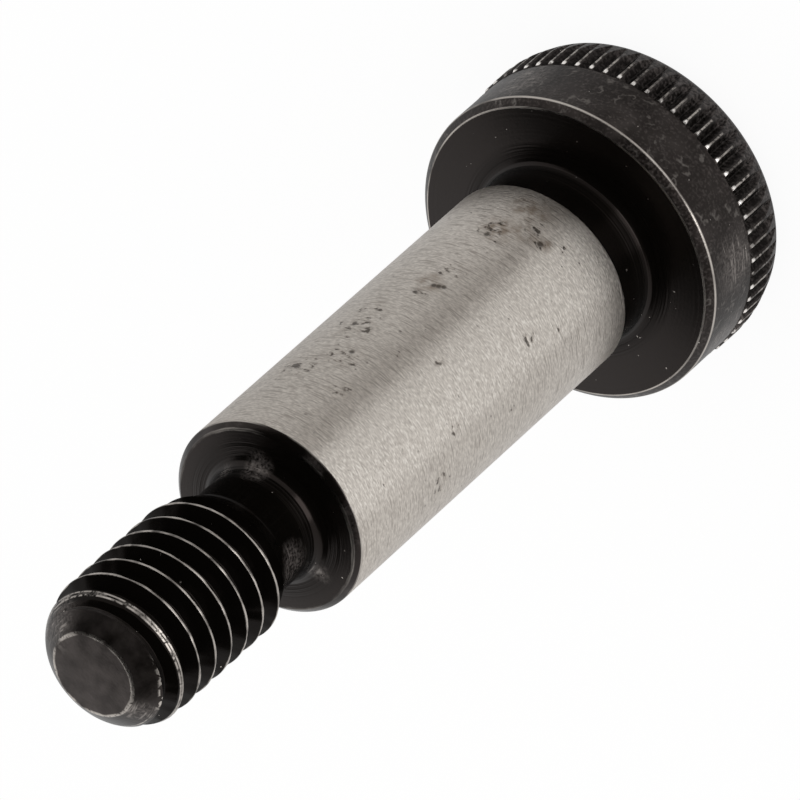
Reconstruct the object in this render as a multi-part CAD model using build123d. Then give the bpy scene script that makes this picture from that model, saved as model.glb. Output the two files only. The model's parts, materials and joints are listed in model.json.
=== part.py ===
"""Hexagon socket head shoulder bolt: 8 mm ground shoulder, 20 mm long, M6 x 1 thread, knurled head.

One solid, turned about +Z and standing on the top of its head: z = 0 is the head's top face, with the
mouth of the socket, and +Z runs along the shoulder to the tip of the thread. Millimetres. The thread is
the cylinder over its crests.
"""
from build123d import *
from math import pi, radians, tan
import os

# ---- driving sizes -------------------------------------------------------------------------------

# head
head_height = 5.5  # top of the head to the bearing face
collar_d = 12.85  # the plain collar between the bearing face and the knurl
collar_height = 2.85  # with its chamfer
bearing_chamfer = 0.3
head_taper_height = 1.5  # top of the head to where its wall starts to lean in
head_taper_angle = 17.0  # of that wall, from the axis
head_edge_chamfer = 0.55  # 45 degrees, round the top

# straight knurl on the head
knurl_d = 13.04  # over the crests, which rolling raised above the collar
knurl_pitch = 0.62  # round the crests
knurl_depth = 0.27
knurl_land = 0.12  # width left flat on each crest

# hexagon socket
socket_across_flats = 4.02
socket_depth = 3.4  # full hexagon, without the cone at its bottom
socket_cone_angle = 120.0
socket_mouth_d = 5.1  # countersunk round the corners of the hexagon

# neck that relieves the corner under the head
head_neck_d = 7.42
head_neck_length = 2.1
head_neck_fillet = 0.4

# shoulder, ground to size
shoulder_d = 7.97
shoulder_length = 20.0  # bearing face to the shoulder's end face
shoulder_chamfer = 0.3

# thread and its neck
thread_d = 5.95  # major diameter over the rolled crests
thread_length = 11.0  # the shoulder's end face to the tip
thread_neck_d = 4.58
thread_neck_length = 2.1  # the shoulder's end face to the ramp
thread_neck_fillet = 0.53
thread_neck_angle = 25.0  # of the ramp up to the thread, from the axis
lead_length = 0.9  # the thread's last turn, which leans in before the point
lead_angle = 21.0  # of that lead, from the axis
point_length = 0.75  # the steep cone from the lead to the flat tip
tip_flat_d = 3.4

# ---- worked out ----------------------------------------------------------------------------------

bearing_z = head_height
shoulder_end_z = bearing_z + shoulder_length
tip_z = shoulder_end_z + thread_length
knurl_end_z = bearing_z - collar_height

collar_r = collar_d / 2
knurl_r = knurl_d / 2
head_edge_r = knurl_r - (head_taper_height - head_edge_chamfer) * tan(radians(head_taper_angle))
head_neck_r = head_neck_d / 2
shoulder_r = shoulder_d / 2
thread_r = thread_d / 2
thread_neck_r = thread_neck_d / 2
tip_flat_r = tip_flat_d / 2

knurl_count = round(pi * knurl_d / knurl_pitch)
knurl_root_r = knurl_r - knurl_depth
groove_half_width = (pi * knurl_d / knurl_count - knurl_land) / 2

point_z = tip_z - point_length
lead_z = point_z - lead_length
point_r = thread_r - lead_length * tan(radians(lead_angle))

neck_end_z = shoulder_end_z + thread_neck_length
thread_start_z = neck_end_z + (thread_r - thread_neck_r) / tan(radians(thread_neck_angle))


def turned_blank():
    """The whole bolt as turned: one outline from the head's top to the tip, revolved about Z."""
    head_neck_end_z = bearing_z + head_neck_length
    with BuildPart() as blank:
        with BuildSketch(Plane.XZ):
            with BuildLine():
                # head: top, taper, the cylinder that carries the knurl, collar and bearing face
                Polyline(
                    (0, 0),
                    (head_edge_r - head_edge_chamfer, 0),
                    (head_edge_r, head_edge_chamfer),
                    (knurl_r, head_taper_height),
                    (knurl_r, knurl_end_z),
                    (collar_r, knurl_end_z),
                    (collar_r, bearing_z - bearing_chamfer),
                    (collar_r - bearing_chamfer, bearing_z),
                    (head_neck_r + head_neck_fillet, bearing_z),
                )
                # neck under the head
                TangentArc(
                    (head_neck_r + head_neck_fillet, bearing_z),
                    (head_neck_r, bearing_z + head_neck_fillet),
                    tangent=(-1, 0),
                )
                # shoulder
                Polyline(
                    (head_neck_r, bearing_z + head_neck_fillet),
                    (head_neck_r, head_neck_end_z - (shoulder_r - head_neck_r)),
                    (shoulder_r, head_neck_end_z),
                    (shoulder_r, shoulder_end_z - shoulder_chamfer),
                    (shoulder_r - shoulder_chamfer, shoulder_end_z),
                    (thread_neck_r + thread_neck_fillet, shoulder_end_z),
                )
                # neck before the thread
                TangentArc(
                    (thread_neck_r + thread_neck_fillet, shoulder_end_z),
                    (thread_neck_r, shoulder_end_z + thread_neck_fillet),
                    tangent=(-1, 0),
                )
                # thread at its major diameter, its lead and the point
                Polyline(
                    (thread_neck_r, shoulder_end_z + thread_neck_fillet),
                    (thread_neck_r, neck_end_z),
                    (thread_r, thread_start_z),
                    (thread_r, lead_z),
                    (point_r, point_z),
                    (tip_flat_r, tip_z),
                    (0, tip_z),
                    (0, 0),
                )
            make_face()
        revolve(axis=Axis.Z)
    return blank.part


def hexagon_socket():
    """The socket as a solid to cut away: hexagon, drill cone at its bottom, countersunk mouth."""
    flat_r = socket_across_flats / 2
    cone_height = flat_r / tan(radians(socket_cone_angle / 2))
    with BuildPart() as socket:
        with BuildSketch():
            RegularPolygon(flat_r, 6, major_radius=False)
        extrude(amount=socket_depth)
        with Locations((0, 0, socket_depth)):
            Cone(flat_r, 0, cone_height, align=(Align.CENTER, Align.CENTER, Align.MIN))
        Cone(
            socket_mouth_d / 2,
            0,
            socket_mouth_d / 2,
            align=(Align.CENTER, Align.CENTER, Align.MIN),
        )
    return socket.part


def knurl_groove():
    """One V groove of the knurl at +X, open at the head's top and running out at 45 degrees at the collar."""
    clear_r = knurl_r + knurl_depth
    clear_half = groove_half_width * (clear_r - knurl_root_r) / knurl_depth
    with BuildPart() as groove:
        with BuildSketch():
            Polygon(
                (knurl_root_r, 0),
                (clear_r, -clear_half),
                (clear_r, clear_half),
                align=None,
            )
        extrude(amount=knurl_end_z + clear_r - collar_r)
        with BuildSketch(Plane.XZ):
            Polygon(
                (knurl_root_r - knurl_depth, 0),
                (clear_r + knurl_depth, 0),
                (clear_r + knurl_depth, knurl_end_z + clear_r + knurl_depth - collar_r),
                (knurl_root_r - knurl_depth, knurl_end_z + knurl_root_r - knurl_depth - collar_r),
                align=None,
            )
        extrude(amount=clear_half + knurl_depth, both=True, mode=Mode.INTERSECT)
    return groove.part


def shoulder_bolt():
    knurl = [place * knurl_groove() for place in PolarLocations(0, knurl_count)]
    return turned_blank() - hexagon_socket() - knurl


bolt = shoulder_bolt()
bolt.label = "shoulder_bolt"

os.makedirs("parts", exist_ok=True)
export_step(bolt, "parts/shoulder_bolt.step")
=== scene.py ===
"""The hexagon socket head shoulder bolt as it looks: knurled black head, ground shoulder, rolled thread.

The bolt is one piece. It is made the way a screw maker makes it: the blank is turned, the knurl is rolled
round the head, the hexagon is broached, the thread is rolled, everything is blackened, and the shoulder is
ground bright last. It stands on the top of its head, with +Z along the shoulder to the tip. Metres.
"""
import json
import math

import bmesh
import bpy
from bpy.props import FloatProperty, FloatVectorProperty, PointerProperty
from mathutils import Matrix, Vector


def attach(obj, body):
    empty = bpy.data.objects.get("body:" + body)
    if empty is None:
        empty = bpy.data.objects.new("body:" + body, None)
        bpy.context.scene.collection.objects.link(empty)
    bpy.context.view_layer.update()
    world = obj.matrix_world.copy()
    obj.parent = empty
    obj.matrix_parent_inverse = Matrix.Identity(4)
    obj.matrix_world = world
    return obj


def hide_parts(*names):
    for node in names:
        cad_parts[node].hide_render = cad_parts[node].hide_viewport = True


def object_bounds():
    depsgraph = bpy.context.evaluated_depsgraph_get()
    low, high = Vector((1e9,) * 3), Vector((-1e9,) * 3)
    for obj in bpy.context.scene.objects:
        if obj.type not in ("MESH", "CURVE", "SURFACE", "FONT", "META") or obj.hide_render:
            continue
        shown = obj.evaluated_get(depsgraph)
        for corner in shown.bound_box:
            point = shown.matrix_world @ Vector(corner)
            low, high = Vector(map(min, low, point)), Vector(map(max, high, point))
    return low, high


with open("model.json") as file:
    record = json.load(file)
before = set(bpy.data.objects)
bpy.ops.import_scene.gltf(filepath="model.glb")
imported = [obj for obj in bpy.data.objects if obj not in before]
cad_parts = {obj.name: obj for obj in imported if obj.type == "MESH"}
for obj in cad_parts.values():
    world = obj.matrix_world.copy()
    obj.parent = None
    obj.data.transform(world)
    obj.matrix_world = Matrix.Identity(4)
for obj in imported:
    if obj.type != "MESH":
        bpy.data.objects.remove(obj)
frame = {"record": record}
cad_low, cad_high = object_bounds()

bl_info = {
    "name": "Shoulder bolt",
    "version": (1, 0, 0),
    "blender": (4, 5, 0),
    "location": "3D View > Sidebar > Bolt",
    "description": "Models a knurled socket head shoulder bolt round its packed CAD solid",
    "category": "Add Mesh",
}

MM = 0.001
MOUNTS = {mount["name"]: mount for mount in frame["record"]["mounts"]}
BEARING_Z = MOUNTS["bearing_face"]["pos_m"][2]
SHOULDER_END_Z = MOUNTS["shoulder_end"]["pos_m"][2]
SHOULDER_R = MOUNTS["shoulder"]["dims"]["r_mm"] * MM
THREAD_R = MOUNTS["thread"]["dims"]["r_mm"] * MM
TIP_Z = cad_high.z
HEAD_R = cad_high.y

# how fine the meshes are
KNURL_PITCHES = 66
TURNED_SEGMENTS = 4 * KNURL_PITCHES  # so that every groove of the knurl cuts the same facets
THREAD_STEPS = 120  # round one turn
EDGE_SEGMENTS = 3  # round a broken edge
FILLET_SEGMENTS = 8
SMOOTH_BELOW = math.radians(28)  # edges that bend more than this stay sharp
OVERLAP = 0.2 * MM  # how far a cutter stands out of what it cuts
WELD = 0.001 * MM  # corners closer than this are one
BROKEN = 0.03 * MM  # rounding of a sharp edge once its burr is off
FADE = 0.3  # how much of a mask's reach is full, before it fades
WHITE = (1, 1, 1, 1)
LAMP_AIM = Vector((0, 0, 16 * MM))  # near the bolt's middle


def linear(hex_colour):
    """An sRGB hex colour as linear red, green and blue."""
    shares = [int(hex_colour[i : i + 2], 16) / 255 for i in (1, 3, 5)]
    return [s / 12.92 if s <= 0.04045 else ((s + 0.055) / 1.055) ** 2.4 for s in shares]


def length(name, description, default):
    return FloatProperty(
        name=name, description=description, default=default, min=0, unit="LENGTH", precision=6
    )


def angle(name, description, degrees):
    return FloatProperty(name=name, description=description, default=math.radians(degrees), subtype="ANGLE")


def colour(name, description, hex_colour):
    return FloatVectorProperty(
        name=name, description=description, default=linear(hex_colour), min=0, max=1, subtype="COLOR"
    )


# ---- sizes, finishes and stage that a user may change --------------------------------------------


class BoltSizes(bpy.types.PropertyGroup):
    """Sizes of the bolt that its record doesn't state."""

    collar_r: length("Collar radius", "Plain band between knurl and bearing face", 6.425 * MM)
    collar_height: length("Collar height", "Bearing face to the knurl", 2.85 * MM)
    bearing_chamfer: length("Bearing chamfer", "Chamfer round the bearing face", 0.3 * MM)
    head_taper_height: length("Head taper height", "Top of the head to the full knurl", 1.5 * MM)
    head_edge_r: length("Head edge radius", "Head's radius where its top chamfer starts", 6.23 * MM)
    head_chamfer: length("Head chamfer", "Chamfer round the head's top", 0.55 * MM)
    knurl_depth: length("Knurl depth", "Depth of a groove below the crests", 0.27 * MM)
    knurl_land: length("Knurl land", "Width left on each crest, rounding and all", 0.1 * MM)
    socket_across_flats: length("Socket across flats", "Hexagon for the key", 4.02 * MM)
    socket_depth: length("Socket depth", "Depth of the full hexagon", 3.4 * MM)
    socket_mouth_r: length("Socket mouth radius", "Countersink round the hexagon", 2.55 * MM)
    head_neck_r: length("Head neck radius", "Relief under the head", 3.71 * MM)
    head_neck_length: length("Head neck length", "Bearing face to the ground shoulder", 2.1 * MM)
    head_neck_fillet: length("Head neck fillet", "Fillet into the bearing face", 0.4 * MM)
    shoulder_chamfer: length("Shoulder chamfer", "Chamfer at the shoulder's end", 0.24 * MM)
    thread_neck_r: length("Thread neck radius", "Relief between shoulder and thread", 2.29 * MM)
    thread_neck_length: length("Thread neck length", "Shoulder's end to the ramp", 2.1 * MM)
    thread_neck_angle: angle("Thread ramp", "Out of the neck, from the axis", 25)
    thread_neck_fillet: length("Thread neck fillet", "Fillet into the shoulder's end", 0.53 * MM)
    thread_pitch: length("Thread pitch", "Crest to crest along the bolt", 1.0 * MM)
    thread_root_r: length("Thread root radius", "Bottom of the thread", 2.39 * MM)
    thread_crest: length("Thread crest", "Width of the rounded crest", 0.09 * MM)
    thread_start: length("Thread phase", "Height of a crest on the +X side, less whole pitches", 0.533 * MM)
    lead_length: length("Lead length", "The thread's last turn, which leans in", 0.9 * MM)
    lead_angle: angle("Lead angle", "From the axis", 21)
    point_length: length("Point length", "Steep cone from the lead to the tip", 0.75 * MM)
    tip_flat_r: length("Tip radius", "Flat end of the point", 1.7 * MM)


class BoltFinish(bpy.types.PropertyGroup):
    """Colours and gloss of the bolt."""

    oxide: colour("Black oxide", "Magnetite layer, oiled", "#050403")
    oxide_dust: colour("Oxide bloom", "Where the layer is thin or dusty", "#4a4543")
    oxide_roughness: FloatProperty(
        name="Oxide roughness", description="Gloss of the oiled layer", default=0.2, min=0, max=1
    )
    bare_steel: colour("Bare steel", "Worn edges", "#bdb6af")
    fresh_steel: colour("Fresh steel", "Newly knocked corners of the knurl", "#fbf6f1")
    reflection: colour("Reflection tint", "Warmth of what the oxide mirrors", "#ffeae2")
    ground_steel: colour("Ground steel", "The shoulder", "#ece5dc")
    ground_roughness: FloatProperty(
        name="Ground roughness", description="Gloss of the ground shoulder", default=0.38, min=0, max=1
    )
    mark: colour("Grinding mark", "Darkest of the marks on the shoulder", "#a69e96")
    # painted highlight: bright grains mixed into the shoulder's colour on one strip
    glint: colour("Glint", "Brightest of the marks on the shoulder", "#fffaf3")
    stain: colour("Stain", "Brown stain on the shoulder", "#705a42")
    pit: colour("Pit", "Corrosion pits on the shoulder", "#3d362f")


class StageSettings(bpy.types.PropertyGroup):
    """Camera, lamps and floor."""

    camera_distance: length("Camera distance", "From the point that it looks at", 387.2 * MM)
    camera_aim_z: length("Camera aim", "Height on the bolt's axis that it looks at", 16.72 * MM)
    camera_lens: FloatProperty(name="Lens", description="Focal length", default=476.9, unit="CAMERA")
    camera_elevation: angle("Camera elevation", "Above the floor, on the -Y side", 42.66)
    camera_roll: angle("Camera roll", "Turns the view until the thread points down to the left", 131.86)
    floor_colour: colour("Floor", "Pale floor", "#f2f1f0")
    flag_colour: colour("Flag", "Strip that the shoulder's soft dark band mirrors", "#9a9795")
    ceiling_colour: colour("Ceiling", "Card overhead, dark in the bolt's reflections", "#101010")
    floor_size: FloatProperty(name="Floor size", description="Side of the floor", default=4, unit="LENGTH")


# ---- modelling helpers ---------------------------------------------------------------------------


def add_primitive(operator, name, **settings):
    """Adds a primitive with nothing else selected, and bakes its place into its mesh."""
    bpy.ops.object.select_all(action="DESELECT")
    operator(**settings)
    piece = bpy.context.active_object
    piece.name = piece.data.name = name
    bpy.ops.object.transform_apply(location=True, rotation=True, scale=True)
    return piece


def select(piece, kind, wanted):
    """In edit mode, selects the piece's verts, edges or faces for which wanted says so, and no others."""
    bpy.ops.mesh.select_mode(type={"verts": "VERT", "edges": "EDGE", "faces": "FACE"}[kind])
    bpy.ops.mesh.select_all(action="DESELECT")
    mesh = bmesh.from_edit_mesh(piece.data)
    for item in getattr(mesh, kind):
        item.select_set(wanted(item))
    mesh.select_flush_mode()
    bmesh.update_edit_mesh(piece.data)


def turned(name, outline):
    """A solid turned about Z: a disc, extruded and scaled through an outline of heights and radii."""
    height, radius = outline[0]
    piece = add_primitive(
        bpy.ops.mesh.primitive_circle_add,
        name,
        vertices=TURNED_SEGMENTS,
        radius=radius,
        fill_type="NGON",
        location=(0, 0, height),
    )
    bpy.ops.object.mode_set(mode="EDIT")
    for next_height, next_radius in outline[1:]:
        bpy.ops.mesh.extrude_region_move(TRANSFORM_OT_translate={"value": (0, 0, next_height - height)})
        share = next_radius / radius
        bpy.ops.transform.resize(value=(share, share, 1), center_override=(0, 0, next_height))
        height, radius = next_height, next_radius
    bpy.ops.mesh.select_all(action="SELECT")
    bpy.ops.mesh.normals_make_consistent(inside=False)
    bpy.ops.object.mode_set(mode="OBJECT")
    return piece


def round_ring(piece, height, radius, size, segments=EDGE_SEGMENTS):
    """Rounds a turned edge, a fillet where it is hollow, by beveling its ring of edges."""

    def on_ring(vertex):
        away = abs(math.hypot(vertex.co.x, vertex.co.y) - radius)
        return abs(vertex.co.z - height) < WELD and away < WELD

    bpy.ops.object.mode_set(mode="EDIT")
    select(piece, "edges", lambda edge: all(map(on_ring, edge.verts)))
    bpy.ops.mesh.bevel(offset=size, segments=segments, profile=0.5, affect="EDGES")
    bpy.ops.object.mode_set(mode="OBJECT")


def combine(piece, other, operation):
    """Joins, cuts or intersects piece with other, which is used up."""
    modifier = piece.modifiers.new(operation.title(), "BOOLEAN")
    modifier.operation = operation
    modifier.solver = "EXACT"
    modifier.object = other
    apply_modifiers(piece)
    bpy.data.objects.remove(other)


def apply_modifiers(piece):
    bpy.ops.object.select_all(action="DESELECT")
    piece.select_set(True)
    bpy.context.view_layer.objects.active = piece
    for modifier in list(piece.modifiers):
        bpy.ops.object.modifier_apply(modifier=modifier.name)


# ---- the bolt ------------------------------------------------------------------------------------


def turned_blank(sizes):
    """The head, shoulder and thread neck as turned, with the edges broken and the two fillets."""
    knurl_end_z = BEARING_Z - sizes.collar_height
    neck_end_z = BEARING_Z + sizes.head_neck_length
    step = HEAD_R - sizes.collar_r
    relief = SHOULDER_R - sizes.head_neck_r
    head_fillet, thread_fillet = sizes.head_neck_fillet, sizes.thread_neck_fillet
    # height, radius and rounding of each corner
    corners = [
        (0, sizes.head_edge_r - sizes.head_chamfer, 4 * BROKEN),
        (sizes.head_chamfer, sizes.head_edge_r, 6 * BROKEN),
        (sizes.head_taper_height, HEAD_R, 10 * BROKEN),
        (knurl_end_z, HEAD_R, BROKEN),
        (knurl_end_z + step, sizes.collar_r, BROKEN),
        (BEARING_Z - sizes.bearing_chamfer, sizes.collar_r, BROKEN),
        (BEARING_Z, sizes.collar_r - sizes.bearing_chamfer, BROKEN),
        (BEARING_Z, sizes.head_neck_r, head_fillet),
        (neck_end_z - relief, sizes.head_neck_r, 0),
        (neck_end_z, SHOULDER_R, BROKEN),
        (SHOULDER_END_Z - sizes.shoulder_chamfer, SHOULDER_R, BROKEN),
        (SHOULDER_END_Z, SHOULDER_R - sizes.shoulder_chamfer, BROKEN),
        (SHOULDER_END_Z, sizes.thread_neck_r, thread_fillet),
        (SHOULDER_END_Z + sizes.thread_neck_length + OVERLAP, sizes.thread_neck_r, 0),
    ]
    blank = turned("shoulder_bolt_blank", [(height, radius) for height, radius, _ in corners])
    for height, radius, rounding in corners:
        segments = FILLET_SEGMENTS if rounding in (head_fillet, thread_fillet) else EDGE_SEGMENTS
        if rounding:
            round_ring(blank, height, radius, rounding, segments)
    return blank


def knurl_grooves(sizes):
    """The straight knurl as rods to cut away.

    They are V grooves, open at the head's top, that run out at the collar.
    """
    clear_r = HEAD_R + OVERLAP
    flat = sizes.knurl_land / 3  # the rest of the land is rounded
    width = math.tau * HEAD_R / KNURL_PITCHES - flat
    rounding = 0.04 * MM
    root_width = 0.05 * MM
    # depth below the crests and width there: rounded off the crests, then a straight flank
    flank = [
        (rounding / 4, width - rounding),
        (rounding, width - 2 * rounding),
        (sizes.knurl_depth, root_width),
    ]
    knurl_end_z = BEARING_Z - sizes.collar_height
    top_z = knurl_end_z + OVERLAP + 2 * (clear_r - sizes.collar_r)
    grooves = add_primitive(
        bpy.ops.mesh.primitive_cube_add,
        "knurl_grooves",
        size=1,
        location=((HEAD_R + clear_r) / 2, 0, (top_z - OVERLAP) / 2),
        scale=(clear_r - HEAD_R, width, top_z + OVERLAP),
    )
    bpy.ops.object.mode_set(mode="EDIT")
    select(grooves, "faces", lambda face: face.normal.x < -0.9)
    depth = 0
    for next_depth, next_width in flank:
        bpy.ops.mesh.extrude_region_move(TRANSFORM_OT_translate={"value": (depth - next_depth, 0, 0)})
        bpy.ops.transform.resize(
            value=(1, next_width / width, 1), center_override=(HEAD_R - next_depth, 0, 0)
        )
        depth, width = next_depth, next_width
    bpy.ops.mesh.select_all(action="SELECT")
    bpy.ops.mesh.bisect(
        plane_co=(HEAD_R, 0, knurl_end_z + 2 * (HEAD_R - sizes.collar_r)),
        plane_no=(-1, 0, 1),
        use_fill=True,
        clear_outer=True,
    )
    bpy.ops.mesh.select_all(action="SELECT")
    bpy.ops.mesh.normals_make_consistent(inside=False)
    share = (KNURL_PITCHES - 1) / KNURL_PITCHES
    bpy.ops.mesh.spin(
        steps=KNURL_PITCHES - 1, dupli=True, angle=math.tau * share, center=(0, 0, 0), axis=(0, 0, 1)
    )
    bpy.ops.mesh.select_all(action="SELECT")
    bpy.ops.mesh.normals_make_consistent(inside=False)
    bpy.ops.object.mode_set(mode="OBJECT")
    return grooves


def socket_hexagon(sizes):
    """The broached hexagon as a solid to cut away."""
    bottom, top = -OVERLAP, sizes.socket_depth
    return add_primitive(
        bpy.ops.mesh.primitive_cylinder_add,
        "socket_hexagon",
        vertices=6,
        radius=sizes.socket_across_flats / 2 / math.cos(math.radians(30)),
        depth=top - bottom,
        location=(0, 0, (top + bottom) / 2),
        rotation=(0, 0, math.radians(30)),
    )


def socket_bore(sizes):
    """What drill and countersink take out of the socket: a 120 degree point and a 45 degree mouth."""
    clear = 0.02 * MM  # inside the hexagon's flats
    blunt = 0.01  # the end of the point, as a share of the drill
    drill_r = sizes.socket_across_flats / 2 - clear
    point = drill_r / math.tan(math.radians(60))
    mouth = sizes.socket_mouth_r + OVERLAP
    return turned(
        "socket_bore",
        [
            (-OVERLAP, mouth),
            (mouth - drill_r - OVERLAP, drill_r),
            (sizes.socket_depth - OVERLAP, drill_r),
            (sizes.socket_depth, drill_r),
            (sizes.socket_depth + point * (1 - blunt), drill_r * blunt),
        ],
    )


def thread_outline(sizes):
    """One pitch of a 60 degree thread from root to root: radius and height of each corner."""
    depth = THREAD_R - sizes.thread_root_r
    flank = depth * math.tan(math.radians(30))
    root = sizes.thread_pitch - sizes.thread_crest - 2 * flank
    return [
        (sizes.thread_root_r, 0),
        (sizes.thread_root_r, root / 2),
        (THREAD_R, root / 2 + flank),
        (THREAD_R, root / 2 + flank + sizes.thread_crest),
        (sizes.thread_root_r, sizes.thread_pitch - root / 2),
        (sizes.thread_root_r, sizes.thread_pitch),
    ]


def threaded_rod(sizes):
    """A rod with the thread all along it.

    One pitch is drawn as a line, screwed up the axis, and cut off square. The crest wanders a little
    along the bolt, as a rolled one does.
    """
    pitch = sizes.thread_pitch
    low = SHOULDER_END_Z + 1.2 * pitch  # inside the neck
    high = TIP_Z + 0.4 * pitch  # clear of the tip
    spare_turns = 4
    wander_size = 0.6 * MM
    wander_strength = 0.1 * MM
    first_crest = sizes.thread_start + pitch * math.floor((low - 2 * pitch) / pitch)
    outline = thread_outline(sizes)
    rod = add_primitive(
        bpy.ops.mesh.primitive_plane_add,
        "threaded_rod",
        size=pitch,
        location=(outline[0][0], 0, first_crest - pitch / 2),
    )
    bpy.ops.object.mode_set(mode="EDIT")
    bpy.ops.mesh.select_mode(type="VERT")
    bpy.ops.mesh.select_all(action="SELECT")
    bpy.ops.mesh.merge(type="CENTER")
    for (radius, height), (next_radius, next_height) in zip(outline, outline[1:]):
        bpy.ops.mesh.extrude_vertices_move(
            TRANSFORM_OT_translate={"value": (next_radius - radius, 0, next_height - height)}
        )
    select(rod, "verts", lambda vertex: len(vertex.link_edges) == 2)
    bpy.ops.mesh.bevel(offset=BROKEN, segments=EDGE_SEGMENTS, affect="VERTICES")
    bpy.ops.object.mode_set(mode="OBJECT")

    screw = rod.modifiers.new("Screw", "SCREW")
    screw.axis = "Z"
    screw.angle = math.tau
    screw.screw_offset = pitch
    screw.iterations = math.ceil((high - low) / pitch) + spare_turns
    screw.steps = screw.render_steps = THREAD_STEPS
    apply_modifiers(rod)

    bpy.ops.object.mode_set(mode="EDIT")
    bpy.ops.mesh.select_all(action="SELECT")
    bpy.ops.mesh.remove_doubles(threshold=WELD)
    bpy.ops.object.mode_set(mode="OBJECT")
    wander = bpy.data.textures.new("crest_wander", "CLOUDS")
    wander.noise_scale = wander_size
    displace = rod.modifiers.new("Wander", "DISPLACE")
    displace.texture = wander
    displace.direction = "Z"
    displace.strength = wander_strength
    apply_modifiers(rod)

    bpy.ops.object.mode_set(mode="EDIT")
    for height, up in ((low, -1), (high, 1)):
        bpy.ops.mesh.select_all(action="SELECT")
        bpy.ops.mesh.bisect(
            plane_co=(0, 0, height), plane_no=(0, 0, up), use_fill=True, clear_outer=True
        )
    bpy.ops.mesh.select_all(action="SELECT")
    bpy.ops.mesh.normals_make_consistent(inside=False)
    bpy.ops.object.mode_set(mode="OBJECT")
    return rod


def point_outline(sizes):
    """Height and radius of each corner from the thread's body to the flat tip."""
    point_z = TIP_Z - sizes.point_length
    point_r = THREAD_R - sizes.lead_length * math.tan(sizes.lead_angle)
    return [(point_z - sizes.lead_length, THREAD_R), (point_z, point_r), (TIP_Z, sizes.tip_flat_r)]


def thread_envelope(sizes):
    """What the thread is rolled from: a ramp out of the neck, the body, the lead and the point."""
    clear = 0.02 * MM  # outside the crests
    inside = 1.1 * MM  # how deep in the neck the ramp starts
    lead_rounding = 0.35 * MM  # where the lead meets the point
    tip_rounding = 0.06 * MM
    neck_end_z = SHOULDER_END_Z + sizes.thread_neck_length
    ramp = math.tan(sizes.thread_neck_angle)
    (lead_z, _), *point = point_outline(sizes)
    envelope = turned(
        "thread_envelope",
        [
            (neck_end_z - inside / ramp, sizes.thread_neck_r - inside),
            (neck_end_z + (THREAD_R + clear - sizes.thread_neck_r) / ramp, THREAD_R + clear),
            (lead_z - clear / math.tan(sizes.lead_angle), THREAD_R + clear),
            *point,
        ],
    )
    round_ring(envelope, *point[0], lead_rounding, segments=6)
    round_ring(envelope, *point[1], tip_rounding)
    return envelope


def model_bolt(sizes):
    """The whole bolt as one mesh: the blank with its cuts, joined to the thread."""
    bolt = turned_blank(sizes)
    combine(bolt, knurl_grooves(sizes), "DIFFERENCE")
    combine(bolt, socket_hexagon(sizes), "DIFFERENCE")
    combine(bolt, socket_bore(sizes), "DIFFERENCE")
    thread = threaded_rod(sizes)
    combine(thread, thread_envelope(sizes), "INTERSECT")
    combine(bolt, thread, "UNION")
    bolt.name = bolt.data.name = "bolt"
    return bolt


# ---- finishes ------------------------------------------------------------------------------------


def add_node(tree, kind, inputs=None, **settings):
    """Adds a node with its settings.

    An input is a value, a socket, or a node that gives its first output.
    """
    node = tree.nodes.new(kind)
    for name, value in settings.items():
        setattr(node, name, value)
    for key, value in (inputs or {}).items():
        if isinstance(value, bpy.types.Node):
            value = value.outputs[0]
        if isinstance(value, bpy.types.NodeSocket):
            tree.links.new(value, node.inputs[key])
        else:
            node.inputs[key].default_value = value
    return node


def maths(tree, operation, *values):
    """A Math node on up to three values, sockets or nodes."""
    return add_node(tree, "ShaderNodeMath", dict(enumerate(values)), operation=operation)


def new_material(name):
    material = bpy.data.materials.new(name)
    material.use_nodes = True
    material.node_tree.nodes.clear()
    return material


def finish_material(tree, surface):
    add_node(tree, "ShaderNodeOutputMaterial", {"Surface": surface})


def place_on_bolt(tree):
    """A point on the bolt in millimetres: the point, its distance from the axis and its height."""
    metres = add_node(tree, "ShaderNodeTexCoord").outputs["Object"]
    point = add_node(
        tree, "ShaderNodeVectorMath", {0: metres, "Scale": 1 / MM}, operation="SCALE"
    ).outputs[0]
    split = add_node(tree, "ShaderNodeSeparateXYZ", {0: point})
    flat = add_node(tree, "ShaderNodeCombineXYZ", {0: split.outputs[0], 1: split.outputs[1]})
    radius = add_node(tree, "ShaderNodeVectorMath", {0: flat}, operation="LENGTH").outputs["Value"]
    return point, radius, split.outputs[2]


def ramp_up(tree, value, start, end):
    """0 below start, 1 above end, smooth between."""
    return add_node(
        tree,
        "ShaderNodeMapRange",
        {"Value": value, "From Min": start, "From Max": end},
        interpolation_type="SMOOTHSTEP",
    )


def both(tree, *masks):
    """1 where every mask is 1."""
    joined = masks[0]
    for mask in masks[1:]:
        joined = maths(tree, "MULTIPLY", joined, mask)
    return joined


def either(tree, *masks):
    """1 where any mask is 1."""
    joined = masks[0]
    for mask in masks[1:]:
        joined = maths(tree, "MAXIMUM", joined, mask)
    return joined


def mixed(tree, share, first, second):
    """The first colour, number or node where share is 0, the second where it is 1."""
    if isinstance(second, float):
        inputs = {"Value": share, "To Min": first, "To Max": second}
        return add_node(tree, "ShaderNodeMapRange", inputs)
    inputs = {0: share, 6: first, 7: second}
    return add_node(tree, "ShaderNodeMix", inputs, data_type="RGBA").outputs[2]


def grain(tree, point, size, detail=3.0, stretch=(1, 1, 1)):
    """Noise about 0.5 with lumps of that size in millimetres, drawn out where stretch is above 1."""
    place = add_node(tree, "ShaderNodeMapping", {"Vector": point, "Scale": [1 / s for s in stretch]})
    return add_node(tree, "ShaderNodeTexNoise", {"Vector": place, "Scale": 0.5 / size, "Detail": detail})


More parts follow.
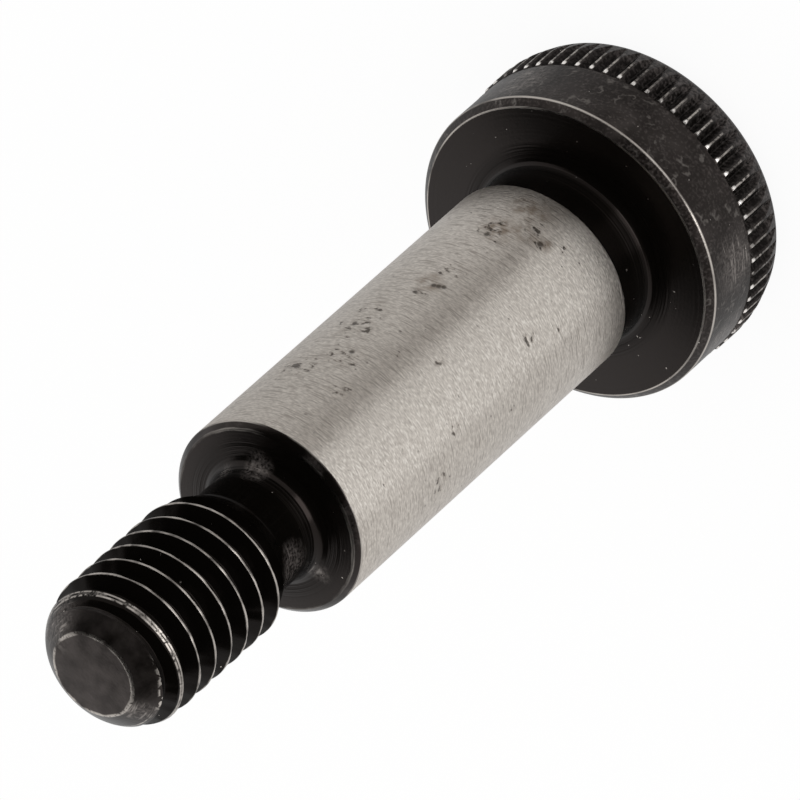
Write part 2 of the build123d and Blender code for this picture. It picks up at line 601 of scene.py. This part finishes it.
def near_ring(tree, radius, height, ring, width):
    """1 on a turned edge, fading to 0 at that width in millimetres from it.

    The ring is the edge's height and radius in metres.
    """
    place = add_node(tree, "ShaderNodeCombineXYZ", {0: height, 1: radius})
    centre = (ring[0] / MM, ring[1] / MM, 0)
    away = add_node(tree, "ShaderNodeVectorMath", {0: place, 1: centre}, operation="DISTANCE")
    return ramp_up(tree, away.outputs["Value"], width, width * FADE)


def near_places(tree, point, places):
    """1 at any of the places, fading to 0 at its reach.

    Each place is its turn in degrees from the -Y side towards +X, then its distance from the axis, height
    and reach in millimetres.
    """
    masks = []
    for turn, radius, height, reach in places:
        turn = math.radians(turn)
        centre = (radius * math.sin(turn), -radius * math.cos(turn), height)
        away = add_node(tree, "ShaderNodeVectorMath", {0: point, 1: centre}, operation="DISTANCE")
        masks.append(ramp_up(tree, away.outputs["Value"], reach, reach * FADE))
    return either(tree, *masks)


def facing(tree, point, turn, spread):
    """1 on the strip of the shoulder that faces that turn, fading to 0 at that spread from it.

    Both are in degrees, and the turn is counted as for near_places.
    """
    turn, spread = math.radians(turn), math.radians(spread)
    ahead = (math.sin(turn), -math.cos(turn), 0)
    reach = add_node(tree, "ShaderNodeVectorMath", {0: point, 1: ahead}, operation="DOT_PRODUCT")
    radius = SHOULDER_R / MM
    return ramp_up(
        tree, reach.outputs["Value"], radius * math.cos(spread), radius * math.cos(spread / 2)
    )


def dent_rims(tree, point):
    """1 on the worn rims of the dents that rolling and handling left, in short broken arcs."""
    rim_r = 0.38
    shift = 1.1
    crooked = add_node(tree, "ShaderNodeTexNoise", {"Vector": point, "Scale": 2.0, "Detail": 2})
    shifted = add_node(
        tree,
        "ShaderNodeVectorMath",
        {0: crooked.outputs["Color"], 1: (shift, shift, shift), 2: point},
        operation="MULTIPLY_ADD",
    )
    cells = add_node(tree, "ShaderNodeTexVoronoi", {"Vector": shifted, "Scale": 1.0})
    off_rim = maths(tree, "ABSOLUTE", maths(tree, "SUBTRACT", cells, rim_r))
    broken = ramp_up(tree, grain(tree, point, 0.25), 0.48, 0.6)
    return both(tree, ramp_up(tree, off_rim, 0.1, 0.01), broken)


def crest_edges(tree, sizes, point, radius, height):
    """1 where the thread's crest is rubbed bright.

    It is one fine line on the body. Where the lead cuts the crest wide, it is broken lines on its edges,
    with a part-worn flat between them.
    """
    worn_share = 0.4  # of the flat that the lead cuts, across
    least_half = 0.2  # half the line on the body, as a share of the crest
    outline_r = THREAD_R / MM
    corners = [(z / MM, r / MM) for z, r in point_outline(sizes)]
    for (low_z, low_r), (high_z, high_r) in zip(corners, corners[1:]):
        fall = add_node(
            tree,
            "ShaderNodeMapRange",
            {"Value": height, "From Min": low_z, "From Max": high_z, "To Max": high_r - low_r},
        )
        outline_r = maths(tree, "ADD", outline_r, fall)
    depth = maths(tree, "SUBTRACT", THREAD_R / MM, outline_r)
    flank = math.tan(math.radians(30)) * worn_share
    half_width = maths(tree, "MULTIPLY_ADD", depth, flank, sizes.thread_crest / MM * least_half)

    pitch = sizes.thread_pitch / MM
    root_r, end_z = sizes.thread_root_r / MM, SHOULDER_END_Z / MM
    split = add_node(tree, "ShaderNodeSeparateXYZ", {0: point})
    turn = maths(tree, "ARCTAN2", split.outputs[1], split.outputs[0])
    rise = maths(tree, "MULTIPLY_ADD", turn, -pitch / math.tau, height)
    rise = maths(tree, "SUBTRACT", rise, sizes.thread_start / MM)
    off_crest = maths(tree, "ABSOLUTE", maths(tree, "WRAP", rise, pitch / 2, -pitch / 2))
    off_edge = maths(tree, "SUBTRACT", off_crest, half_width)
    on_flat = both(
        tree,
        ramp_up(tree, off_edge, 0, -0.02),
        ramp_up(tree, grain(tree, point, 0.3), 0.35, 0.65),
        ramp_up(tree, grain(tree, point, 0.05), 0.2, 0.8),
    )
    off_edge = maths(tree, "ABSOLUTE", off_edge)
    below = maths(tree, "SUBTRACT", outline_r, radius)
    on_lead = ramp_up(tree, height, corners[0][0], corners[0][0] + 0.5)
    unbroken = mixed(
        tree,
        on_lead,
        ramp_up(tree, grain(tree, point, 0.35), 0.1, 0.6),
        ramp_up(tree, grain(tree, point, 0.1), 0.35, 0.5),
    )
    return both(
        tree,
        either(tree, both(tree, ramp_up(tree, off_edge, 0.045, 0.012), unbroken), on_flat),
        ramp_up(tree, below, 0.05, 0.03),
        ramp_up(tree, outline_r, root_r + 0.03, root_r + 0.1),
        ramp_up(tree, height, end_z + 1, end_z + 1.2),
    )


# where the oxide is rubbed thin, as near_places takes places
THIN_PLACES = [
    (95, 2.4, 36.0, 1.5),
    (-85, 2.1, 36.2, 0.8),
    (65, 6.42, 3.8, 1.6),
    (-45, 6.42, 3.7, 1.6),
    (-80, 6.42, 3.6, 1.9),
    (42, 2.5, 25.85, 0.75),
    (-85, 2.8, 25.8, 0.6),
    (-52, 2.29, 27.3, 1.1),
    (78, 2.5, 26.1, 0.6),
]
# where the edges of the shoulder's end are worn
END_WEAR = [(-50, 3.85, 25.4, 2.4), (60, 3.85, 25.4, 1.6)]
# where the edge between the lead and the point is worn
POINT_WEAR = [(-38, 2.5, 35.85, 0.9), (-60, 2.5, 35.85, 1.0)]


def black_oxide(finish, sizes):
    """Black oxide on turned and rolled alloy steel, oiled.

    It is near-black and glossy enough to mirror its own black walls, duller and dusty where the head was
    rolled, and bare steel on rubbed crests and edges.
    """
    material = new_material("black_oxide")
    tree = material.node_tree
    point, radius, height = place_on_bolt(tree)
    head_r, bearing_z = HEAD_R / MM, BEARING_Z / MM
    collar_r, chamfer = sizes.collar_r / MM, sizes.bearing_chamfer / MM
    shoulder_end_z, end_chamfer = SHOULDER_END_Z / MM, sizes.shoulder_chamfer / MM
    knurl_end_z = bearing_z - sizes.collar_height / MM
    taper_z = sizes.head_taper_height / MM
    neck_low_z = (SHOULDER_END_Z + sizes.thread_neck_fillet) / MM
    _, (point_z, point_r), tip = point_outline(sizes)

    coarse = grain(tree, point, 0.35)
    runs = grain(tree, point, 1.2)
    fine = grain(tree, point, 0.06, detail=5.0)
    specks = ramp_up(tree, grain(tree, point, 0.09, detail=1.0), 0.79, 0.82)
    # the wear on an edge wanders up to 0.08 mm off it
    worn_r = maths(tree, "ADD", radius, maths(tree, "MULTIPLY_ADD", coarse, 0.16, -0.08))

    # the head's outer wall, which was rolled, with its chamfer and the grooves of its knurl
    outer_wall = both(
        tree,
        ramp_up(tree, radius, collar_r - chamfer, collar_r - chamfer + 0.02),
        ramp_up(tree, height, bearing_z + 0.02, bearing_z - 0.02),
    )
    on_chamfer = both(
        tree, outer_wall, ramp_up(tree, height, bearing_z - chamfer - 0.02, bearing_z - chamfer)
    )
    below_taper = ramp_up(tree, height, taper_z - 0.3, taper_z)
    on_taper = both(tree, outer_wall, ramp_up(tree, height, taper_z, taper_z - 0.2))
    below_collar = ramp_up(tree, height, knurl_end_z + 0.1, knurl_end_z)
    on_collar = both(tree, outer_wall, ramp_up(tree, height, knurl_end_z + 0.1, knurl_end_z + 0.3))
    # masks for the painted shade in the knurl's grooves and in the thread
    in_shaded_groove = both(
        tree, ramp_up(tree, radius, head_r - 0.05, head_r - 0.1), outer_wall, below_collar
    )
    in_shaded_thread = both(
        tree,
        ramp_up(tree, height, neck_low_z, neck_low_z + 0.4),
        ramp_up(tree, height, point_z / MM + 0.1, point_z / MM - 0.1),
    )
    on_point = ramp_up(tree, height, point_z / MM, point_z / MM + 0.1)
    on_tip = ramp_up(tree, height, TIP_Z / MM - 0.04, TIP_Z / MM - 0.02)
    on_end_chamfer = both(
        tree,
        ramp_up(tree, height, shoulder_end_z - end_chamfer, shoulder_end_z - end_chamfer + 0.03),
        ramp_up(tree, radius, SHOULDER_R / MM - end_chamfer, SHOULDER_R / MM - end_chamfer + 0.03),
        ramp_up(tree, height, shoulder_end_z + 0.02, shoulder_end_z),
    )

    # fine turning marks round the axis
    across = maths(tree, "ADD", radius, height)
    marks = add_node(
        tree, "ShaderNodeTexNoise", {"W": across, "Scale": 8, "Detail": 2}, noise_dimensions="1D"
    )
    head_fillet = (BEARING_Z + sizes.head_neck_fillet, sizes.head_neck_r + sizes.head_neck_fillet)
    neck_fillet = (
        SHOULDER_END_Z + sizes.thread_neck_fillet,
        sizes.thread_neck_r + sizes.thread_neck_fillet,
    )
    in_fillet = either(
        tree,
        near_ring(tree, radius, height, head_fillet, 0.75),
        near_ring(tree, radius, height, neck_fillet, 0.95),
    )
    streaks = ramp_up(tree, grain(tree, point, 0.04, stretch=(9, 9, 1)), 0.5, 0.68)
    thin = both(
        tree,
        near_places(tree, point, THIN_PLACES),
        either(tree, ramp_up(tree, fine, 0.3, 0.8), streaks),
        ramp_up(tree, coarse, 0.0, 0.6),
    )

    # rubbed to bare steel
    on_knurl = both(
        tree,
        ramp_up(tree, radius, head_r - 0.022, head_r - 0.004),
        below_taper,
        mixed(tree, ramp_up(tree, coarse, 0.35, 0.6), 0.15, 0.9),
        ramp_up(tree, fine, 0.3, 0.6),
    )
    ridge_ends = both(
        tree,
        near_ring(tree, radius, height, (BEARING_Z - sizes.collar_height, HEAD_R), 0.17),
        ramp_up(tree, radius, head_r - 0.07, head_r - 0.05),
        ramp_up(tree, coarse, 0.35, 0.5),
    )
    chamfer_low = (BEARING_Z - sizes.bearing_chamfer, sizes.collar_r)
    chamfer_high = (BEARING_Z, sizes.collar_r - sizes.bearing_chamfer)
    end_edge = (SHOULDER_END_Z - sizes.shoulder_chamfer, SHOULDER_R)
    end_corner = (SHOULDER_END_Z, SHOULDER_R - sizes.shoulder_chamfer)
    point_edge = (point_z + 0.1 * MM, point_r - 0.12 * MM)
    end_worn = either(tree, ramp_up(tree, runs, 0.4, 0.65), near_places(tree, point, END_WEAR))
    rubbed = either(
        tree,
        both(tree, crest_edges(tree, sizes, point, radius, height), ramp_up(tree, coarse, 0.1, 0.6)),
        on_knurl,
        ridge_ends,
        both(
            tree,
            near_ring(tree, radius, height, chamfer_low, 0.07),
            ramp_up(tree, runs, 0.2, 0.5),
        ),
        both(
            tree,
            near_ring(tree, radius, height, chamfer_high, 0.05),
            ramp_up(tree, runs, 0.7, 0.4),
        ),
        both(
            tree,
            near_ring(tree, worn_r, height, tip, 0.1),
            ramp_up(tree, coarse, 0.3, 0.6),
            ramp_up(tree, fine, 0.3, 0.5),
        ),
        both(
            tree,
            near_ring(tree, worn_r, height, point_edge, 0.16),
            ramp_up(tree, grain(tree, point, 0.1, detail=1.0), 0.46, 0.56),
            near_places(tree, point, POINT_WEAR),
        ),
        both(tree, near_ring(tree, worn_r, height, end_corner, 0.09), end_worn, 0.4),
        both(tree, dent_rims(tree, point), on_collar, 0.16),
        both(tree, near_ring(tree, radius, height, end_edge, 0.07), end_worn, 0.9),
        both(tree, thin, 0.14),
        both(tree, thin, streaks, 0.4),
        specks,
    )

    # thin and dusty
    rough_wall = either(tree, outer_wall, both(tree, on_point, 0.5))
    dust = either(
        tree,
        both(tree, outer_wall, ramp_up(tree, fine, 0.42, 0.75), ramp_up(tree, runs, 0.1, 1.1)),
        both(tree, on_chamfer, ramp_up(tree, fine, 0.4, 1.0)),
        both(tree, on_taper, ramp_up(tree, fine, 0.3, 0.8)),
        both(tree, on_point, ramp_up(tree, coarse, 0.2, 2.0)),
        both(tree, on_tip, ramp_up(tree, coarse, 0.0, 1.3)),
        both(tree, on_end_chamfer, ramp_up(tree, runs, 0.45, 0.7), ramp_up(tree, fine, 0.2, 0.8)),
        both(tree, on_collar, ramp_up(tree, runs, 0.45, 1.1)),
        thin,
    )
    skin = mixed(tree, dust, (*finish.oxide, 1), (*finish.oxide_dust, 1))
    roughness = mixed(tree, rough_wall, finish.oxide_roughness, finish.oxide_roughness + 0.15)
    # painted shade: the specular level is lower in the fillets, and lower still in the knurl's grooves and
    # the thread, where the walls shade each other
    open_level, fillet_shaded_level, groove_shaded_level = 0.27, 0.14, 0.08
    specular = mixed(tree, in_fillet, open_level, fillet_shaded_level)
    specular = mixed(tree, either(tree, in_shaded_groove, in_shaded_thread), specular, groove_shaded_level)

    # relief: the turning marks, deep in the fillets, and the grit of the rolled wall
    marks = both(tree, marks, mixed(tree, both(tree, in_fillet, in_fillet), 1.0, 40.0))
    grit = maths(tree, "MULTIPLY_ADD", fine, mixed(tree, rough_wall, 0.8, 5.0), marks)
    # turned faces stand a little proud towards the axis
    crown = add_node(
        tree,
        "ShaderNodeBump",
        {"Height": radius, "Distance": 0.045 * MM, "Strength": mixed(tree, on_point, 1.0, 0.0)},
        invert=True,
    )
    bump = add_node(
        tree,
        "ShaderNodeBump",
        {"Height": grit, "Strength": 0.5, "Distance": 0.004 * MM, "Normal": crown},
    )
    oxide = add_node(
        tree,
        "ShaderNodeBsdfPrincipled",
        {
            "Base Color": skin,
            "Roughness": roughness,
            "IOR": 1.5,
            "Specular IOR Level": specular,
            "Specular Tint": (*finish.reflection, 1),
            "Normal": bump,
        },
    )
    bare = add_node(
        tree,
        "ShaderNodeBsdfPrincipled",
        {
            "Base Color": mixed(tree, ridge_ends, (*finish.bare_steel, 1), (*finish.fresh_steel, 1)),
            "Metallic": 1,
            "Roughness": 0.35,
            "Normal": bump,
        },
    )
    finish_material(tree, add_node(tree, "ShaderNodeMixShader", {0: rubbed, 1: oxide, 2: bare}))
    return material


# clusters of corrosion pits on the shoulder, as on_shoulder takes places
PIT_CLUSTERS = [
    (35, 10.4, 1.0),
    (19, 9.4, 0.6),
    (12, 9.9, 0.4),
    (0, 9.2, 0.5),
    (-29, 11.8, 0.4),
    (34, 13.7, 0.8),
    (39, 15.4, 0.6),
    (-22, 13.3, 0.6),
    (52, 17.0, 0.8),
    (2, 17.7, 0.4),
    (49, 18.3, 1.1),
    (20, 18.8, 0.4),
    (40, 20.2, 1.1),
    (58, 21.3, 1.3),
    (26, 21.9, 0.7),
    (-31, 18.8, 0.5),
    (-53, 20.1, 0.8),
]
# single dark nicks
NICKS = [
    (35, 14.69, 0.16),
    (32.5, 14.63, 0.18),
    (30, 14.56, 0.16),
    (37, 10.9, 0.16),
    (12, 9.9, 0.2),
    (38, 19.8, 0.16),
    (40, 15.4, 0.14),
]
# brown stains
STAINS = [(34, 10.3, 1.1), (22, 9.8, 0.9), (10, 9.8, 0.5), (30, 8.6, 1.2), (38, 14.6, 0.8)]
# the strip of the shoulder with a painted highlight, in degrees: lighter marks, fewer scratches, painted
# glints
HIGHLIGHT_STRIP_TURN = -13
HIGHLIGHT_STRIP_SPREAD = 28


def on_shoulder(places):
    """Places given by turn, height and reach, with the shoulder's radius put in for near_places."""
    return [(turn, SHOULDER_R / MM, height, reach) for turn, height, reach in places]


def ground_steel(finish):
    """Cylindrically ground steel.

    It is bright, with fine marks round the shoulder that spread light along it and a painted highlight on
    one strip, and it has the pits and brown stains of a bolt that has been in use.
    """
    material = new_material("ground_steel")
    tree = material.node_tree
    point, _, _ = place_on_bolt(tree)

    # marks 0.1 mm long and 0.03 mm wide, scratches 0.4 mm long, and a painted highlight on one strip
    noise = grain(tree, point, 0.03, detail=2.0, stretch=(3, 3, 1))
    # coarse: the strip of painted highlight, where marks are lighter and a little stronger, scratches
    # fewer, glints painted in
    coarse = facing(tree, point, HIGHLIGHT_STRIP_TURN, HIGHLIGHT_STRIP_SPREAD)
    marks = mixed(tree, coarse, ramp_up(tree, noise, 0.0, 1.0), ramp_up(tree, noise, 0.0, 0.76))
    scratches = grain(tree, point, 0.026, detail=0.0, stretch=(14, 14, 1))
    scratches = both(tree, ramp_up(tree, scratches, 0.42, 0.26), mixed(tree, coarse, 1.0, 0.2))
    painted_glints = both(tree, ramp_up(tree, noise, 0.56, 0.66), coarse)
    relief = maths(tree, "MULTIPLY_ADD", scratches, -0.8, marks)

    # pits lie close in the clusters and are rare elsewhere
    pit_grain = grain(tree, point, 0.1, detail=2.0, stretch=(1.4, 1.4, 1))
    pit_floor = mixed(tree, near_places(tree, point, on_shoulder(PIT_CLUSTERS)), 0.69, 0.52)
    pits = ramp_up(tree, maths(tree, "SUBTRACT", pit_grain, pit_floor), 0.0, 0.14)
    pits = either(tree, pits, near_places(tree, point, on_shoulder(NICKS)))
    stained = both(
        tree,
        near_places(tree, point, on_shoulder(STAINS)),
        ramp_up(tree, grain(tree, point, 0.2, detail=5.0), 0.3, 0.75),
    )
    around_pits = both(tree, near_places(tree, point, on_shoulder(PIT_CLUSTERS)), 0.25)
    stained = either(tree, stained, both(tree, around_pits, ramp_up(tree, pit_grain, 0.4, 0.6)))

    shade = mixed(tree, marks, (*finish.mark, 1), (*finish.ground_steel, 1))
    shade = mixed(tree, both(tree, scratches, 0.8), shade, (*finish.mark, 1))
    # painted highlight: glints mixed into the colour on the strip
    shade = mixed(tree, both(tree, painted_glints, 0.5), shade, (*finish.glint, 1))
    shade = mixed(tree, both(tree, stained, 0.7), shade, (*finish.stain, 1))
    shade = mixed(tree, both(tree, pits, 0.8), shade, (*finish.pit, 1))
    depth = maths(tree, "MULTIPLY_ADD", pits, -3, relief)
    bump = add_node(tree, "ShaderNodeBump", {"Height": depth, "Strength": 0.8, "Distance": 0.006 * MM})
    tangent = add_node(tree, "ShaderNodeTangent", direction_type="RADIAL", axis="Z")
    steel = add_node(
        tree,
        "ShaderNodeBsdfPrincipled",
        {
            "Base Color": shade,
            "Metallic": 1,
            "Roughness": finish.ground_roughness,
            "Anisotropic": 0.6,
            "Tangent": tangent,
            "Normal": bump,
        },
    )
    finish_material(tree, steel)
    return material


def on_ground_wall(polygon, sizes):
    """Whether a face is on the shoulder's ground cylinder."""
    near = 0.005 * MM
    x, y, z = polygon.center
    low = BEARING_Z + sizes.head_neck_length
    high = SHOULDER_END_Z - sizes.shoulder_chamfer
    return abs(math.hypot(x, y) - SHOULDER_R) < near and low < z < high


class BOLT_OT_add_bolt(bpy.types.Operator):
    """Models the bolt round its CAD solid and gives it its finishes"""

    bl_idname = "bolt.add_bolt"
    bl_label = "Bolt"

    def execute(self, context):
        sizes, finish = context.scene.bolt_sizes, context.scene.bolt_finish
        bolt = model_bolt(sizes)
        bolt.data.materials.clear()
        bolt.data.materials.append(black_oxide(finish, sizes))
        bolt.data.materials.append(ground_steel(finish))
        for polygon in bolt.data.polygons:
            polygon.material_index = int(on_ground_wall(polygon, sizes))
        bpy.ops.object.select_all(action="DESELECT")
        bolt.select_set(True)
        context.view_layer.objects.active = bolt
        bpy.ops.object.shade_smooth_by_angle(angle=SMOOTH_BELOW)
        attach(bolt, "root")
        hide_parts("shoulder_bolt")
        return {"FINISHED"}


# ---- stage ---------------------------------------------------------------------------------------


def add_floor(settings):
    """A pale floor, white to the camera with a trace of the bolt's shadow, and a painted glow in
    reflections.
    """
    white_share = 0.93  # to the camera; the rest shows the shadow
    fade_x = 40 * MM  # where what reflections see stops changing
    lamp_side, far_side = 0.84, 0.62  # how bright they see it
    floor = add_primitive(bpy.ops.mesh.primitive_plane_add, "floor", size=settings.floor_size)
    material = new_material("pale_floor")
    tree = material.node_tree
    light_path = add_node(tree, "ShaderNodeLightPath")
    paper = add_node(tree, "ShaderNodeBsdfDiffuse", {"Color": (*settings.floor_colour, 1)})
    white = add_node(tree, "ShaderNodeEmission", {"Color": WHITE, "Strength": 1.0})
    seen = both(tree, light_path.outputs["Is Camera Ray"], white_share)
    lit = add_node(tree, "ShaderNodeMixShader", {0: seen, 1: paper, 2: white})
    # painted light: reflections see a glow on it, brighter on the -X side, the lamp's side, and dimmer on
    # the far side
    place = add_node(tree, "ShaderNodeTexCoord").outputs["Object"]
    across = add_node(tree, "ShaderNodeSeparateXYZ", {0: place})
    strength = add_node(
        tree,
        "ShaderNodeMapRange",
        {
            "Value": across,
            "From Min": -fade_x,
            "From Max": fade_x,
            "To Min": lamp_side,
            "To Max": far_side,
        },
    )
    painted_glow = add_node(tree, "ShaderNodeEmission", {"Color": WHITE, "Strength": strength})
    lit = add_node(
        tree, "ShaderNodeMixShader", {0: light_path.outputs["Is Glossy Ray"], 1: lit, 2: painted_glow}
    )
    finish_material(tree, lit)
    floor.data.materials.append(material)


def add_card(name, centre, width, depth, shade):
    """A level card that only reflections see. Its colour is linear."""
    card = add_primitive(bpy.ops.mesh.primitive_plane_add, name, size=1, location=centre)
    bpy.ops.object.mode_set(mode="EDIT")
    bpy.ops.mesh.select_all(action="SELECT")
    bpy.ops.transform.resize(value=(width, depth, 1), center_override=centre)
    bpy.ops.object.mode_set(mode="OBJECT")
    material = new_material(name)
    paint = add_node(material.node_tree, "ShaderNodeEmission", {"Color": (*shade, 1)})
    finish_material(material.node_tree, paint)
    card.data.materials.append(material)
    card.visible_camera = card.visible_diffuse = card.visible_shadow = False
    return card


def add_flag(settings):
    """A grey strip on the floor, wider further out: the soft dark band along the shoulder."""
    near, far = 11 * MM, 90 * MM
    spread = math.radians(13)  # half its width, from the bolt's axis
    turn = math.radians(-30)  # about that axis
    above_floor = 0.05 * MM
    width = 2 * near * math.tan(spread)
    centre = (0, -(near + far) / 2, above_floor)
    flag = add_card("flag", centre, width, far - near, settings.flag_colour)
    bpy.context.view_layer.objects.active = flag
    bpy.ops.object.mode_set(mode="EDIT")
    select(flag, "verts", lambda vertex: vertex.co.y < -(near + far) / 2)
    bpy.ops.transform.resize(value=(far / near, 1, 1), center_override=(0, -far, 0))
    bpy.ops.mesh.select_all(action="SELECT")
    bpy.ops.transform.rotate(
        value=turn, orient_axis="Z", orient_type="GLOBAL", center_override=(0, 0, 0)
    )
    bpy.ops.object.mode_set(mode="OBJECT")


def add_world():
    world = bpy.data.worlds.new("white_surroundings")
    world.use_nodes = True
    world.node_tree.nodes.clear()
    sky = add_node(world.node_tree, "ShaderNodeBackground", {"Color": WHITE, "Strength": 1.0})
    add_node(world.node_tree, "ShaderNodeOutputWorld", {"Surface": sky})
    bpy.context.scene.world = world


def add_lamp(name, azimuth, elevation, distance, size, power):
    """A square soft lamp, in degrees, metres and watts.

    Azimuth 0 is on the -Y side and 90 on the +X side.
    """
    turn, rise = math.radians(azimuth), math.radians(elevation)
    towards = Vector((math.sin(turn) * math.cos(rise), -math.cos(turn) * math.cos(rise), math.sin(rise)))
    bpy.ops.object.light_add(type="AREA", location=LAMP_AIM + towards * distance)
    lamp = bpy.context.active_object
    lamp.name = lamp.data.name = name
    lamp.data.size = size
    lamp.data.energy = power
    lamp.rotation_euler = towards.to_track_quat("Z", "Y").to_euler()


def add_camera(settings):
    rise = settings.camera_elevation
    back = Vector((0, -math.cos(rise), math.sin(rise)))
    aim = Vector((0, 0, settings.camera_aim_z))
    level = back.to_track_quat("Z", "Y").to_matrix()
    rolled = level @ Matrix.Rotation(-settings.camera_roll, 3, "Z")
    bpy.ops.object.camera_add(
        location=aim + back * settings.camera_distance, rotation=rolled.to_euler()
    )
    camera = bpy.context.active_object
    camera.name = camera.data.name = "camera"
    camera.data.lens = settings.camera_lens
    camera.data.clip_start = 0.01
    camera.data.clip_end = 20
    bpy.context.scene.camera = camera


class BOLT_OT_add_stage(bpy.types.Operator):
    """Adds the floor, cards, white surroundings, soft lamp and camera"""

    bl_idname = "bolt.add_stage"
    bl_label = "Stage"

    def execute(self, context):
        settings = context.scene.bolt_stage
        add_floor(settings)
        add_flag(settings)
        add_card(
            "dark_ceiling",
            centre=(0, -0.395, 0.5),
            width=1.6,
            depth=1.65,
            shade=settings.ceiling_colour,
        )
        add_world()
        add_lamp("soft_lamp", azimuth=-25, elevation=8, distance=0.4, size=0.3, power=0.8)
        add_camera(settings)
        context.scene.view_settings.view_transform = "Standard"
        return {"FINISHED"}


class BOLT_PT_panel(bpy.types.Panel):
    """Sidebar panel that lists the pieces"""

    bl_idname = "BOLT_PT_panel"
    bl_label = "Shoulder bolt"
    bl_space_type = "VIEW_3D"
    bl_region_type = "UI"
    bl_category = "Bolt"

    def draw(self, context):
        for operator in OPERATORS:
            self.layout.operator(operator.bl_idname)
        for name in SETTINGS:
            group = getattr(context.scene, name)
            for key in group.bl_rna.properties.keys():
                if key not in ("rna_type", "name"):
                    self.layout.prop(group, key)


OPERATORS = (BOLT_OT_add_bolt, BOLT_OT_add_stage)
SETTINGS = {"bolt_sizes": BoltSizes, "bolt_finish": BoltFinish, "bolt_stage": StageSettings}


def register():
    for cls in (*SETTINGS.values(), *OPERATORS, BOLT_PT_panel):
        bpy.utils.register_class(cls)
    for name, group in SETTINGS.items():
        setattr(bpy.types.Scene, name, PointerProperty(type=group))


def unregister():
    for name in SETTINGS:
        delattr(bpy.types.Scene, name)
    for cls in (BOLT_PT_panel, *reversed(OPERATORS), *reversed(SETTINGS.values())):
        bpy.utils.unregister_class(cls)


def main():
    register()
    bpy.ops.bolt.add_bolt()
    bpy.ops.bolt.add_stage()


if __name__ == "__main__":
    main()
